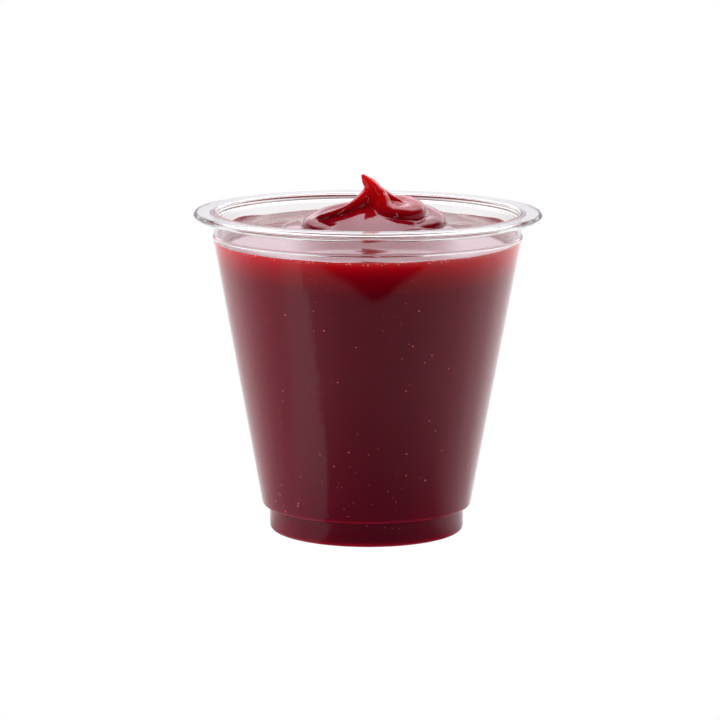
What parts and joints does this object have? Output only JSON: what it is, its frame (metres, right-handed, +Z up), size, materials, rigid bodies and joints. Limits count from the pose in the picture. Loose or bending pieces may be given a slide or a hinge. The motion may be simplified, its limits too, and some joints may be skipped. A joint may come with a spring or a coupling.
{
  "type": "dessert pot",
  "caption": "Clear tapered plastic pot with a flat flange and a stepped foot, filled with set red gel that ends in a swirl with a hooked peak.",
  "frame": {"origin": "centre of the pot's foot, on the surface it stands on", "axes": "+Z up along the pot's axis, and the front of the swirl faces -Y"},
  "size_m": [0.075, 0.075, 0.0768],
  "materials": {
    "clear_plastic": "clear, glossy, thin moulded plastic",
    "red_gel": "wet and glossy deep red set gel, slightly see-through at thin edges"
  },
  "bodies": {
    "root": {"pot": "clear_plastic", "dessert": "red_gel"}
  },
  "joints": []
}
